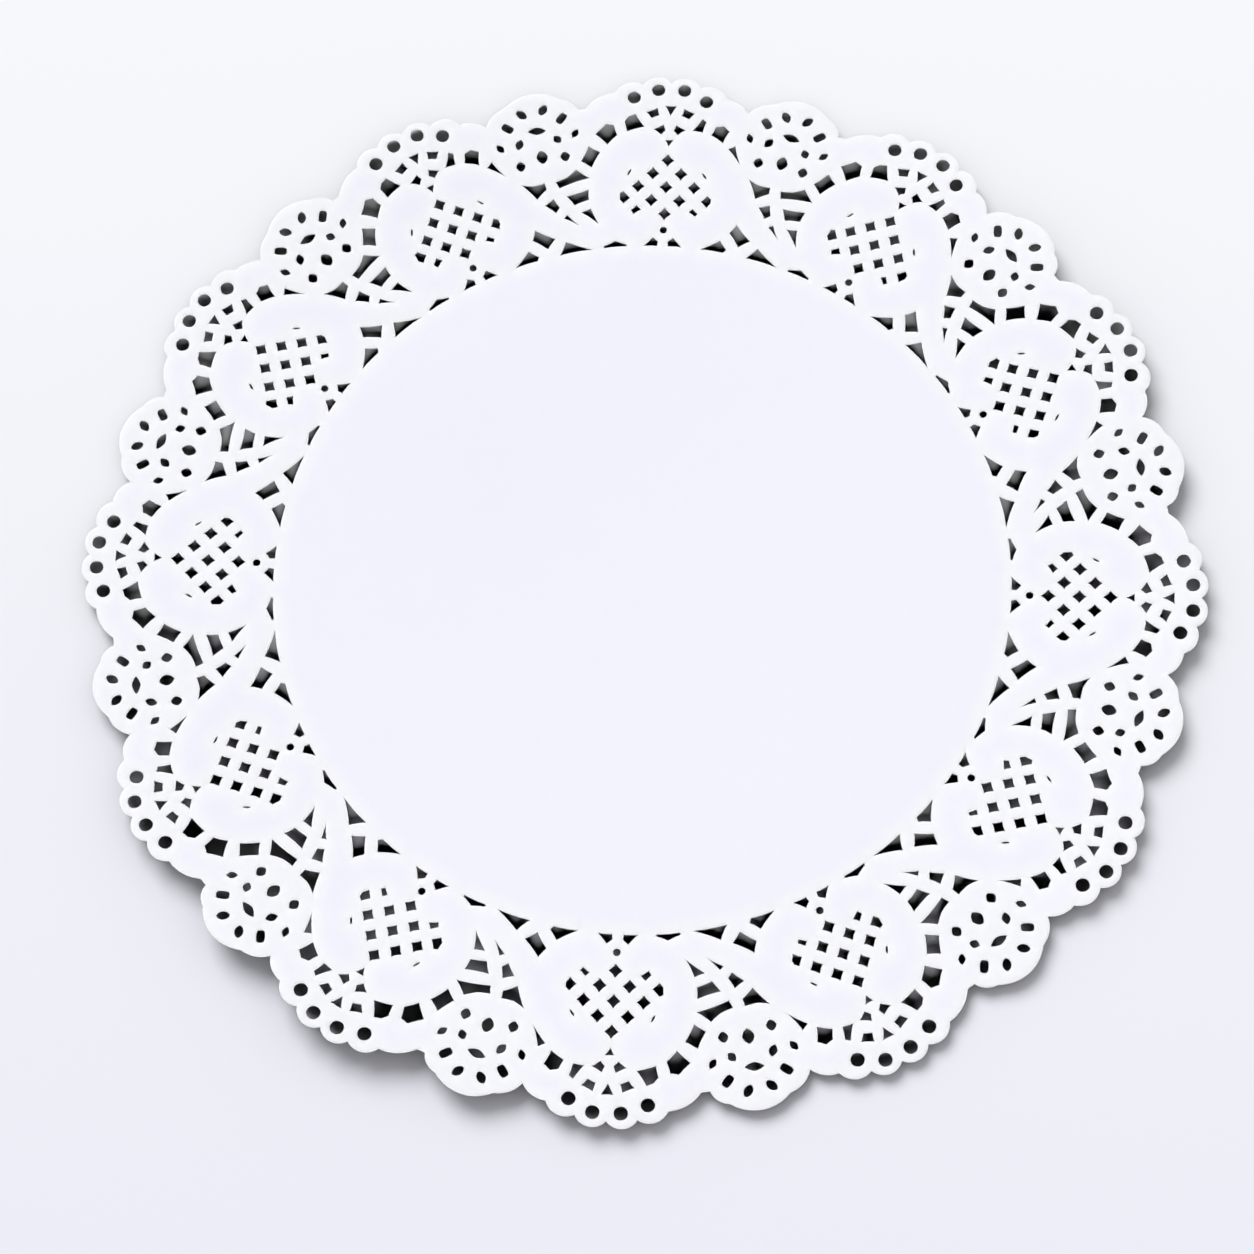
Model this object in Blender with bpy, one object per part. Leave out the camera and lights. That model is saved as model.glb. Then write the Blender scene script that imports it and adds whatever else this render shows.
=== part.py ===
"""A round die-cut paper doily that lies flat: one thin sheet with a plain centre and a lace border.

The border is one repeat turned twelve times. A repeat holds a heart with a lattice in it, a shell
of round holes over the heart, the gaps beside the heart, a leaf, and a rosette between two hearts.

Places are given as on a compass: a bearing in degrees, clockwise from the heart's own axis, and a
reach in millimetres from a named hub. The first heart's axis is +Y. The model itself is in metres.
"""

import math
from typing import NamedTuple

import bpy

MM = 0.001

# The sheet.
SHEET_THICKNESS = 1.0 * MM
REPEATS = 12
REPEAT_ANGLE = 360.0 / REPEATS

# Hubs that the gaps are measured from: a bearing and a reach from the middle of the sheet.
MIDDLE = (0.0, 0.0)
HEART = (0.0, 103.1)
SHELL = (0.0, 115.2)
ROSETTE = (-15.75, 117.7)

# The plain centre ends where the innermost gaps stand on it.
PLAIN_REACH = 87.2

SHELL_HOLE_DIAMETER = 3.2

# The lattice's square holes stand on their corners.
LATTICE_PITCH = 6.86
LATTICE_HALF_ACROSS = 1.65
LATTICE_HALF_UP = 1.72

ROUND_STEPS = 10


class Scallop(NamedTuple):
    """One bulge of the rim, from the notch before it to its own last notch."""

    notch_bearing: float
    notch_reach: float
    rise: float
    steps: int


class Field(NamedTuple):
    """A gap with straight sides. Each corner is a bearing and a reach from the gap's hub.

    A gap without a far left corner is a triangle. A crest bends its far side out or in.
    """

    near_left: tuple
    near_right: tuple
    far_right: tuple
    far_left: tuple | None = None
    crest: tuple | None = None


class Oval(NamedTuple):
    """A rounded gap: its place, its two diameters, and the bearing that its length points to."""

    bearing: float
    reach: float
    length: float
    width: float
    heading: float


FIRST_NOTCH = (-21.2, 125.2)
RIM = (
    # The rosette's three bulges, and the flat of the notch after them.
    Scallop(notch_bearing=-18.6, notch_reach=129.0, rise=0.9, steps=3),
    Scallop(notch_bearing=-12.4, notch_reach=128.7, rise=2.7, steps=7),
    Scallop(notch_bearing=-10.6, notch_reach=125.2, rise=0.8, steps=3),
    Scallop(notch_bearing=-9.7, notch_reach=125.2, rise=0.0, steps=1),
    # The heart's left shoulder, its four shell bulges and its right shoulder.
    Scallop(notch_bearing=-6.2, notch_reach=129.0, rise=1.0, steps=4),
    Scallop(notch_bearing=-3.15, notch_reach=130.9, rise=1.7, steps=5),
    Scallop(notch_bearing=-0.05, notch_reach=131.4, rise=1.9, steps=5),
    Scallop(notch_bearing=3.1, notch_reach=130.5, rise=2.0, steps=5),
    Scallop(notch_bearing=6.15, notch_reach=128.2, rise=1.7, steps=5),
    Scallop(notch_bearing=8.8, notch_reach=125.2, rise=0.9, steps=3),
)

HEART_GAPS = (
    # Round the heart, from its left flank over the top to its right flank.
    Field((-76.5, 19.1), (-62.4, 18.9), (-62.6, 22.2), (-74.2, 22.2)),
    Field((-54.2, 18.6), (-43.3, 18.7), (-40.4, 21.4), (-53.4, 22.8), crest=(-43.7, 22.9)),
    Field((-35.7, 18.1), (-21.2, 17.3), (-23.9, 21.4), (-32.8, 20.8), crest=(-28.6, 21.5)),
    Field((19.9, 16.5), (28.3, 17.2), (26.4, 20.2), (22.8, 20.5)),
    Field((35.4, 17.8), (46.8, 18.2), (43.3, 21.6), (34.1, 20.3), crest=(37.8, 21.7)),
    Field((53.4, 18.3), (69.5, 19.0), (54.3, 20.2)),
    # Down the leaf's side that meets the heart.
    Field((-93.4, 26.2), (-85.0, 19.0), (-80.5, 22.7), (-89.7, 27.2), crest=(-86.3, 24.5)),
    Field((-102.9, 19.2), (-94.4, 19.0), (-98.4, 24.5), (-105.0, 22.9)),
    Field((-123.9, 19.1), (-110.0, 19.2), (-110.7, 21.8)),
)

MIDDLE_GAPS = (
    # Down the leaf's other side.
    Field((-17.7, 103.1), (-16.1, 105.2), (-16.2, 107.0), (-19.2, 107.9), crest=(-17.8, 106.9)),
    Field((-16.9, 101.1), (-15.6, 98.5), (-14.9, 99.7), (-15.5, 102.4)),
    Field((-14.7, 96.7), (-12.7, 94.2), (-14.1, 97.5)),
    # Under the leaf, and on the edge of the plain centre.
    Field((-20.0, 92.8), (-18.1, 89.5), (-16.6, 91.8), (-19.2, 95.3)),
    Field((-16.5, PLAIN_REACH), (-11.2, PLAIN_REACH), (-15.1, 90.5)),
    Field((6.0, PLAIN_REACH), (9.8, PLAIN_REACH), (10.2, 88.2), (8.9, 90.4)),
    Field((-9.35, PLAIN_REACH), (-5.75, PLAIN_REACH), (-5.7, 87.7), (-9.35, 87.8), crest=(-7.45, 88.9)),
)

# The four round holes in the shell: a bearing and a reach from the shell's hub.
SHELL_HOLES = ((-37.9, 15.1), (-13.2, 14.6), (12.2, 14.6), (37.2, 14.3))

# The rosette's eye, and the long hole over it.
ROSETTE_HOLES = (
    Oval(bearing=180.0, reach=3.7, length=3.5, width=2.8, heading=0.0),
    Oval(bearing=3.4, reach=3.5, length=4.3, width=2.1, heading=98.0),
)

# The lattice's middle row, in pitches to the right of the heart's hub.
LATTICE_COLUMNS = (-1, 0, 1)


def clear_scene():
    """Removes whatever the scene already holds."""
    for obj in list(bpy.data.objects):
        bpy.data.objects.remove(obj, do_unlink=True)


def step_from(point, bearing, reach):
    """The point that lies at a bearing and a reach from another point."""
    angle = math.radians(bearing)
    return point[0] + reach * math.sin(angle), point[1] + reach * math.cos(angle)


def hub_point(hub):
    """Where a hub lies, measured from the middle of the sheet."""
    return step_from((0.0, 0.0), *hub)


def arc_between(start, end, rise, steps):
    """Points from start up to end, on the arc that rises to the left of the way between them."""
    if rise == 0:
        return [start]
    half = math.dist(start, end) / 2
    radius = (half * half + rise * rise) / (2 * rise)
    sweep = math.asin(half / radius)
    along = ((end[0] - start[0]) / (2 * half), (end[1] - start[1]) / (2 * half))
    points = []
    for i in range(steps):
        turn = sweep * (2 * i / steps - 1)
        forth = half + radius * math.sin(turn)
        out = radius * (math.cos(turn) - 1) + rise
        points.append((
            start[0] + along[0] * forth - along[1] * out,
            start[1] + along[1] * forth + along[0] * out,
        ))
    return points


def rim_of_repeat():
    """The rim's points over one repeat, clockwise, from its first notch up to the next repeat's."""
    points = []
    start = hub_point(FIRST_NOTCH)
    for scallop in RIM:
        end = hub_point((scallop.notch_bearing, scallop.notch_reach))
        points += arc_between(start, end, scallop.rise, scallop.steps)
        start = end
    return points


def field_outline(hub, field):
    """A straight-sided gap's points."""
    centre = hub_point(hub)
    corners = [field.near_left, field.near_right, field.far_right, field.crest, field.far_left]
    return [step_from(centre, *corner) for corner in corners if corner]


def oval_outline(hub, oval):
    """A rounded gap's points."""
    centre = step_from(hub_point(hub), hub[0] + oval.bearing, oval.reach)
    heading = math.radians(hub[0] + oval.heading)
    points = []
    for i in range(ROUND_STEPS):
        turn = 2 * math.pi * (i + 0.5) / ROUND_STEPS
        forth = oval.length / 2 * math.cos(turn)
        aside = oval.width / 2 * math.sin(turn)
        points.append((
            centre[0] + forth * math.sin(heading) + aside * math.cos(heading),
            centre[1] + forth * math.cos(heading) - aside * math.sin(heading),
        ))
    return points


def shell_holes():
    """The round holes over the heart."""
    size = SHELL_HOLE_DIAMETER
    return [oval_outline(SHELL, Oval(*place, size, size, heading=0.0)) for place in SHELL_HOLES]


def lattice_squares():
    """The widest row of square holes in the heart."""
    hub_x, y = hub_point(HEART)
    squares = []
    for column in LATTICE_COLUMNS:
        x = hub_x + column * LATTICE_PITCH
        squares.append([
            (x - LATTICE_HALF_ACROSS, y),
            (x, y - LATTICE_HALF_UP),
            (x + LATTICE_HALF_ACROSS, y),
            (x, y + LATTICE_HALF_UP),
        ])
    return squares


def gaps_of_repeat():
    """Every gap of one repeat, each a list of points."""
    gaps = [field_outline(HEART, field) for field in HEART_GAPS]
    gaps += [field_outline(MIDDLE, field) for field in MIDDLE_GAPS]
    gaps += [oval_outline(ROSETTE, oval) for oval in ROSETTE_HOLES]
    return gaps + shell_holes() + lattice_squares()


def turned(points, angle):
    """Points turned clockwise about the middle of the sheet."""
    cos, sin = math.cos(math.radians(angle)), math.sin(math.radians(angle))
    return [(x * cos + y * sin, y * cos - x * sin) for x, y in points]


def add_outline(curve, points):
    """Adds one closed outline to the curve, in metres."""
    spline = curve.splines.new("POLY")
    spline.points.add(len(points) - 1)
    for place, (x, y) in zip(spline.points, points):
        place.co = (x * MM, y * MM, 0.0, 1.0)
    spline.use_cyclic_u = True


def paper():
    """White paper with a faint lavender tint."""
    material = bpy.data.materials.new("white_paper")
    material.use_nodes = True
    shader = material.node_tree.nodes["Principled BSDF"]
    shader.inputs["Base Color"].default_value = (0.87, 0.87, 0.93, 1.0)
    shader.inputs["Roughness"].default_value = 0.75
    shader.inputs["Metallic"].default_value = 0.0
    return material


def build_doily():
    """The whole sheet: a flat filled outline with its gaps, raised to the sheet's thickness."""
    curve = bpy.data.curves.new("doily", "CURVE")
    curve.dimensions = "2D"
    curve.fill_mode = "BOTH"
    curve.extrude = SHEET_THICKNESS / 2

    rim = rim_of_repeat()
    gaps = gaps_of_repeat()
    whole_rim = []
    for i in range(REPEATS):
        whole_rim += turned(rim, i * REPEAT_ANGLE)
        for gap in gaps:
            add_outline(curve, turned(gap, i * REPEAT_ANGLE))
    add_outline(curve, whole_rim)

    curve.materials.append(paper())
    doily = bpy.data.objects.new("doily", curve)
    doily.location.z = SHEET_THICKNESS / 2
    bpy.context.scene.collection.objects.link(doily)
    return doily


clear_scene()
build_doily()
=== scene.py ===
"""A round die-cut paper doily, lying face up on a pale table, as seen from above and in front.

The sheet is one thin piece of white paper. Its lace border is one repeat of a heart, a shell, a
leaf and a rosette, turned twelve times. Places on it are given as on a compass: a bearing in
degrees, clockwise from the heart's own axis, and a reach in millimetres from a named hub.
"""

import logging
from dataclasses import dataclass
from enum import Enum
from math import asin, ceil, copysign, cos, dist, hypot, pi, radians, sin, sqrt

import bpy
import numpy as np
from bpy.types import ID, Material, Mesh, NodeSocket, NodeTree, Object, World
from mathutils import Matrix, Vector
from mathutils.geometry import delaunay_2d_cdt


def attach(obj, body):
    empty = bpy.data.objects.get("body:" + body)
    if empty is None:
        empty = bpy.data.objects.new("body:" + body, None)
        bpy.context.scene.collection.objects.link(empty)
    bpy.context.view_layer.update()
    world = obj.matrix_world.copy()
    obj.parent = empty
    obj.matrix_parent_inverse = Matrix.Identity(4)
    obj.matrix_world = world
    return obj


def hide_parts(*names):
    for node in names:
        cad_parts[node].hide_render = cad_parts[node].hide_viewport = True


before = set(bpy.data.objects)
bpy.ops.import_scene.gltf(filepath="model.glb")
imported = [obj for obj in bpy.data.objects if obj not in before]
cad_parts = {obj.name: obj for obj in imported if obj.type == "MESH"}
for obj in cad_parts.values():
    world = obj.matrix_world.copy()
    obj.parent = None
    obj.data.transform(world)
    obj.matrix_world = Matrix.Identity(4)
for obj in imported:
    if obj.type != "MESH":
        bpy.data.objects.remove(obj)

log = logging.getLogger("doily")

MM = 0.001
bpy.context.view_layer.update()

Point = tuple[float, float]
# A bearing and a reach from a hub.
Place = tuple[float, float]
Spot = tuple[float, float, float]
Colour = tuple[float, float, float]
# Points in order, in millimetres.
Outline = list[Point]

ORIGIN: Point = (0.0, 0.0)

# Points as near as this are one, in millimetres.
SAME_POINT = 0.01

# A gap's bent side: the distance between its points, and what is left off at each of its ends, in
# millimetres.
BEND_SPACING = 0.9
CORNER_CUT = 0.1

# The rows of points beside a cut: each one's distance from it, as a share of the pressed edge's
# width, and the points' spacing in millimetres.
COLLAR_ROWS = ((0.37, 0.9), (0.9, 1.2))

# How near they may come to another cut, as a share of their own distance, and to the outlines and
# each other, in millimetres.
CUT_SHARE = 0.93
SIDE_GAP = 0.25
POINT_GAP = 0.45

# As shares of the points' spacing: how far ahead of a point its outline's direction is taken, and
# how near a grid's points may come to the outlines.
AHEAD_SHARE = 0.02
GRID_SHARE = 0.45

# Blender's triangulation: its number for the triangles inside a border, and its tolerance.
CDT_INSIDE = 1
CDT_TOLERANCE = 1e-6

# What stands for the squared length of a side that has none.
NO_LENGTH = 1e-12

# An edge as sharp as this has a crease, in degrees. Two seeds lie this far apart in the noise.
CREASE_ANGLE = 40.0
SEED_STEP = 7.3

# The camera's sensor in millimetres, and how far off the lights are drawn, in metres.
SENSOR_WIDTH = 36.0
LIGHT_DISTANCE = 2.0


# -- Places on the sheet --


def step_from(start: Point, bearing: float, reach: float) -> Point:
    """The point at a bearing, in degrees clockwise from +Y, and a reach from another point."""
    angle = radians(bearing)
    return start[0] + reach * sin(angle), start[1] + reach * cos(angle)


def turned(points: Outline, angle: float) -> Outline:
    """Points turned clockwise about the middle of the sheet, by an angle in degrees."""
    forth, aside = cos(radians(angle)), sin(radians(angle))
    return [(x * forth + y * aside, y * forth - x * aside) for x, y in points]


def stepped(start: Point, end: Point, spacing: float) -> Outline:
    """Divides the way between two points into equal steps.

    Args:
        start: The first point.
        end: The last point.
        spacing: The longest step.

    Returns:
        The points from the first up to the last, without the last.
    """
    parts = max(1, ceil(dist(start, end) / spacing))
    run = (end[0] - start[0], end[1] - start[1])
    shares = [i / parts for i in range(parts)]
    return [(start[0] + run[0] * share, start[1] + run[1] * share) for share in shares]


def spread(points: Outline, spacing: float) -> Outline:
    """A closed outline with more points along its sides that are longer than the spacing."""
    closed = points + points[:1]
    return [point for side in zip(closed, closed[1:]) for point in stepped(*side, spacing)]


def drawn_in(corners: Outline, draw: float) -> Outline:
    """Bends each side of a closed outline inwards, which leaves its corners pointed.

    Args:
        corners: The outline's corners, in order.
        draw: How far the middle of a side is drawn in, as a share of the side.

    Returns:
        The bent outline.
    """
    closed = corners + corners[:1]
    turning = sum(a[0] * b[1] - a[1] * b[0] for a, b in zip(closed, closed[1:]))
    inwards = copysign(1.0, turning)
    result: Outline = []
    for start, end in zip(closed, closed[1:]):
        length = dist(start, end)
        run = (end[0] - start[0], end[1] - start[1])
        cut = CORNER_CUT / length
        parts = max(2, round(length / BEND_SPACING))
        for i in range(parts + 1):
            share = cut + (1 - 2 * cut) * i / parts
            bend = 4 * draw * share * (1 - share) * inwards
            result.append((
                start[0] + run[0] * share - run[1] * bend,
                start[1] + run[1] * share + run[0] * bend,
            ))
    return result


class Hub(Enum):
    """What gaps are measured from: each hub's bearing and reach from the middle of the sheet."""

    MIDDLE = (0.0, 0.0)
    HEART = (0.0, 103.1)
    SHELL = (0.0, 115.2)
    ROSETTE = (-15.75, 117.7)

    def point(self) -> Point:
        """Where the hub lies, in millimetres."""
        return step_from(ORIGIN, *self.value)


class Mirror(Enum):
    """Which side of the heart's axis a charted gap stands on."""

    AS_CHARTED = 1
    OTHER_SIDE = -1


# -- The lace --


@dataclass(frozen=True)
class Field:
    """A gap with pointed corners and hollow sides.

    Args:
        hub: What its corners are measured from.
        corners: The bearing and reach of each corner.
        draw: How far the middle of a side is drawn in, as a share of the side.
    """

    hub: Hub
    corners: tuple[Place, ...]
    draw: float = 0.025

    def outline(self, mirror: Mirror = Mirror.AS_CHARTED) -> Outline:
        """The gap's outline in millimetres, on one side of the heart's axis."""
        corners = [step_from(self.hub.point(), mirror.value * b, r) for b, r in self.corners]
        return drawn_in(corners, self.draw)


@dataclass(frozen=True)
class Oval:
    """A rounded gap. Its bearing and heading are measured from its hub's own axis.

    Args:
        hub: What its place is measured from.
        bearing: The bearing of its middle.
        reach: How far its middle is from the hub.
        length: Its longer diameter.
        width: Its shorter diameter.
        heading: The bearing that its length points to.
        fullness: 2 gives an ellipse, more fills its corners out, and less makes its ends pointed.
        sides: How many sides it has.
    """

    hub: Hub
    bearing: float
    reach: float
    length: float
    width: float
    heading: float = 0.0
    fullness: float = 2.5
    sides: int = 20

    def outline(self) -> Outline:
        """The gap's outline.

        Returns:
            The outline's points, in millimetres.
        """
        axis = self.hub.value[0]
        middle = step_from(self.hub.point(), axis + self.bearing, self.reach)
        heading = axis + self.heading
        power = 2 / self.fullness
        result = []
        for i in range(self.sides):
            turn = 2 * pi * (i + 0.5) / self.sides
            forth = copysign(abs(cos(turn)) ** power, cos(turn)) * self.length / 2
            aside = copysign(abs(sin(turn)) ** power, sin(turn)) * self.width / 2
            result.append(step_from(step_from(middle, heading, forth), heading + 90, aside))
        return result


def fields_from(hub: Hub, *gaps: tuple[Place, ...]) -> tuple[Field, ...]:
    """Straight-sided gaps that are charted from one hub, each by its corners."""
    return tuple(Field(hub, corners) for corners in gaps)


def ovals_from(hub: Hub, *gaps: tuple[float, ...]) -> tuple[Oval, ...]:
    """Rounded gaps that are charted from one hub, each by an Oval's own values in order."""
    return tuple(Oval(hub, *values) for values in gaps)


@dataclass(frozen=True)
class Lattice:
    """The square holes in the heart, which stand on their corners. Lengths are in millimetres.

    Args:
        pitch_across: The distance between columns. A row has a hole in every other column.
        pitch_up: The distance between rows.
        half_across: Half of a hole's width.
        half_up: Half of a hole's height.
        draw: How far the middle of a side is drawn in, as a share of the side.
        places: The column and row of each hole.
    """

    pitch_across: float = 3.43
    pitch_up: float = 3.62
    half_across: float = 1.65
    half_up: float = 1.75
    draw: float = 0.05
    places: tuple[tuple[int, int], ...] = (
        (0, 2), (-1, 1), (1, 1), (-2, 0), (0, 0), (2, 0), (-1, -1), (1, -1), (0, -2),
    )

    def outlines(self) -> list[Outline]:
        """Every hole's outline.

        Returns:
            The outlines, in millimetres.
        """
        x, y = Hub.HEART.point()
        across, up = self.half_across, self.half_up
        result = []
        for column, row in self.places:
            at_x, at_y = x + column * self.pitch_across, y + row * self.pitch_up
            corners = [
                (at_x - across, at_y), (at_x, at_y - up), (at_x + across, at_y), (at_x, at_y + up),
            ]
            result.append(drawn_in(corners, self.draw))
        return result


@dataclass(frozen=True)
class Scallop:
    """One bulge of the rim, from the notch before it to its own last notch.

    Args:
        bearing: The last notch's bearing.
        reach: The last notch's reach.
        rise: How far the bulge stands out from the line between its notches.
        steps: How many sides it has.
    """

    bearing: float
    reach: float
    rise: float
    steps: int

    def arc_from(self, start: Point) -> Outline:
        """The bulge's points.

        Args:
            start: The notch before it.

        Returns:
            Points from that notch up to its own last notch, without it.
        """
        if self.rise == 0:
            return [start]
        end = step_from(ORIGIN, self.bearing, self.reach)
        half = dist(start, end) / 2
        radius = (half * half + self.rise * self.rise) / (2 * self.rise)
        sweep = asin(half / radius)
        along = ((end[0] - start[0]) / (2 * half), (end[1] - start[1]) / (2 * half))
        points = []
        for i in range(self.steps):
            turn = sweep * (2 * i / self.steps - 1)
            forth = half + radius * sin(turn)
            out = radius * (cos(turn) - 1) + self.rise
            points.append((
                start[0] + along[0] * forth - along[1] * out,
                start[1] + along[1] * forth + along[0] * out,
            ))
        return points


@dataclass(frozen=True)
class LaceChart:
    """The lace border's pattern over one repeat.

    Args:
        repeats: How many repeats there are.
        plain_reach: Where the plain middle ends, in millimetres.
        first_notch: The rim's first notch.
        rim: The rim's bulges, clockwise.
        fields: Straight-sided gaps.
        paired: Those that also stand on the other side of the heart's axis.
        ovals: Rounded gaps.
        lattice: Square holes.
        seam: Where the next repeat starts, through the webs between gaps, from the rim inwards.
    """

    repeats: int = 12
    plain_reach: float = 87.2
    first_notch: Place = (-21.2, 125.2)
    rim: tuple[Scallop, ...] = (
        Scallop(-18.6, 129.0, 0.9, 6), Scallop(-12.4, 128.7, 2.7, 14),
        Scallop(-10.6, 125.2, 0.8, 6), Scallop(-9.7, 125.2, 0.0, 1),
        Scallop(-6.2, 129.0, 1.0, 8), Scallop(-3.15, 130.9, 1.7, 10),
        Scallop(-0.05, 131.4, 1.9, 10), Scallop(3.1, 130.5, 2.0, 10),
        Scallop(6.15, 128.2, 1.7, 10), Scallop(8.8, 125.2, 0.9, 6),
    )
    fields: tuple[Field, ...] = fields_from(
        Hub.HEART,
        # Round the heart, from its left flank over the top to its right flank.
        ((-76.5, 19.1), (-62.4, 18.9), (-62.6, 22.2), (-74.2, 22.2)),
        ((-54.2, 18.6), (-43.3, 18.7), (-40.4, 21.4), (-43.7, 22.9), (-53.4, 22.8)),
        ((-35.7, 18.1), (-21.2, 17.3), (-23.9, 21.4), (-28.6, 21.5), (-32.8, 20.8)),
        ((19.9, 16.5), (28.3, 17.2), (26.4, 20.2), (22.8, 20.5)),
        ((35.4, 17.8), (46.8, 18.2), (43.3, 21.6), (37.8, 21.7), (34.1, 20.3)),
        ((53.4, 18.3), (69.5, 19.0), (54.3, 20.2)),
        # Down the leaf's side that meets the heart.
        ((-93.4, 26.2), (-85.0, 19.0), (-80.5, 22.7), (-86.3, 24.5), (-89.7, 27.2)),
        ((-102.9, 19.2), (-94.4, 19.0), (-98.4, 24.5), (-105.0, 22.9)),
        ((-123.9, 19.1), (-110.0, 19.2), (-110.7, 21.8)),
    ) + fields_from(
        Hub.MIDDLE,
        # Down the leaf's other side.
        ((-17.7, 103.1), (-16.1, 105.2), (-16.2, 107.0), (-17.8, 106.9), (-19.2, 107.9)),
        ((-16.9, 101.1), (-15.6, 98.5), (-14.9, 99.7), (-15.5, 102.4)),
        ((-14.7, 96.7), (-12.7, 94.2), (-14.1, 97.5)),
        # Under the leaf, and on the edge of the plain middle.
        ((-20.0, 92.8), (-18.1, 89.5), (-16.6, 91.8), (-19.2, 95.3)),
        ((-16.5, plain_reach), (-11.2, plain_reach), (-15.1, 90.5)),
        ((6.0, plain_reach), (9.8, plain_reach), (10.2, 88.2), (8.9, 90.4)),
        ((-9.35, plain_reach), (-5.75, plain_reach), (-5.7, 87.7), (-7.45, 88.9), (-9.35, 87.8)),
    ) + fields_from(
        Hub.HEART,
        # The holes that the lattice's round edge cuts.
        ((-98.5, 10.4), (-110.9, 9.2), (-115.6, 11.3), (-109.2, 11.8), (-99.9, 11.4)),
        ((100.7, 10.4), (104.1, 11.5), (109.4, 11.8), (117.3, 11.5), (112.7, 9.4)),
        ((-126.3, 8.6), (-137.8, 8.5), (-135.1, 10.75), (-128.3, 10.5)),
        ((129.3, 8.8), (130.6, 10.7), (136.2, 10.75), (137.8, 8.75)),
    ) + fields_from(
        Hub.SHELL,
        # The middle of the shell, and the hole in the heart's cleft.
        ((0.0, 7.3), (8.2, 10.15), (-8.4, 10.1)),
        ((180.0, 1.15), (55.0, 1.4), (-53.6, 1.2)),
    )
    paired: tuple[Field, ...] = fields_from(
        Hub.SHELL,
        # The shell's fan.
        ((-35.5, 8.0), (-20.5, 7.85), (-19.5, 9.95), (-36.5, 10.1)),
        ((-44.0, 2.9), (-16.0, 3.45), (-18.0, 5.1), (-48.5, 5.3)),
    ) + fields_from(
        Hub.MIDDLE,
        # The pair under the heart's point.
        ((-0.85, plain_reach), (-3.05, plain_reach), (-1.6, 89.6), (-0.75, 88.5)),
    )
    ovals: tuple[Oval, ...] = ovals_from(
        Hub.SHELL,
        # The holes over the shell.
        (-37.9, 15.1, 3.25, 3.25, -37.9, 2.15), (-13.2, 14.6, 3.25, 3.25, -13.2, 2.15),
        (12.2, 14.6, 3.25, 3.25, 12.2, 2.15), (37.2, 14.3, 3.25, 3.25, 37.2, 2.15),
    ) + ovals_from(
        Hub.MIDDLE,
        # The hole under the heart's point.
        (0.0, 91.5, 1.8, 1.75, 0.0, 2.2),
    ) + ovals_from(
        Hub.HEART,
        # Two slits beside the lattice.
        (-68.4, 9.95, 1.8, 0.5, 25.0, 2.0), (70.4, 9.8, 1.8, 0.5, -35.0, 2.0),
    ) + ovals_from(
        Hub.ROSETTE,
        # Round the rosette.
        (-86.0, 9.6, 2.6, 1.7, -30.0, 1.45), (-50.0, 8.8, 3.1, 2.0, -46.0, 3.4),
        (-17.0, 9.0, 3.1, 2.1, -40.0, 1.75), (17.7, 9.2, 3.1, 2.1, 38.0, 1.75),
        (50.7, 8.8, 3.1, 2.0, 47.0, 3.4), (84.7, 9.3, 2.6, 1.7, 42.0, 1.45),
        (130.0, 7.3, 2.7, 2.4, 0.0, 1.5), (-132.0, 7.6, 2.7, 2.4, 0.0, 1.5),
        # Its eye and the holes beside the eye.
        (180.0, 3.7, 3.6, 2.8, 0.0, 1.6), (3.4, 3.5, 4.4, 2.1, 98.0, 1.4),
        (-80.8, 4.8, 2.9, 2.0, 28.0, 1.5), (87.0, 4.7, 2.4, 2.0, -30.0, 1.5),
    )
    lattice: Lattice = Lattice()
    seam: tuple[Place, ...] = (
        (8.8, 125.2), (8.7, 117.0), (9.9, 112.5), (10.0, 109.0), (9.6, 96.0), (9.4, 92.6),
        (10.4, 90.3), (11.1, 87.6), (11.1, 72.0), (11.1, 0.0),
    )

    @property
    def repeat_angle(self) -> float:
        """The turn from one repeat to the next, in degrees."""
        return 360.0 / self.repeats

    def gaps(self) -> list[Outline]:
        """Every gap of one repeat.

        Returns:
            The gaps' outlines, in millimetres.
        """
        outlines = [gap.outline() for gap in self.fields]
        outlines += [gap.outline(side) for gap in self.paired for side in Mirror]
        outlines += [oval.outline() for oval in self.ovals]
        return outlines + self.lattice.outlines()

    def rim_points(self) -> Outline:
        """The rim over one repeat.

        Returns:
            Its points from the first notch up to the next repeat's, in millimetres.
        """
        points: Outline = []
        start = step_from(ORIGIN, *self.first_notch)
        for scallop in self.rim:
            points += scallop.arc_from(start)
            start = step_from(ORIGIN, scallop.bearing, scallop.reach)
        return points

    def seam_points(self, fine: float, coarse: float) -> Outline:
        """The seam after this repeat, from the rim to the middle, in millimetres.

        Args:
            fine: The longest side in the lace.
            coarse: The longest side in the plain middle.

        Returns:
            The seam's points, both ends included.
        """
        places = [step_from(ORIGIN, *place) for place in self.seam]
        points: Outline = []
        for start, end in zip(places, places[1:]):
            spacing = fine if hypot(*start) > self.plain_reach else coarse
            points += stepped(start, end, spacing)
        return points + [ORIGIN]


# -- Node trees --


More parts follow.
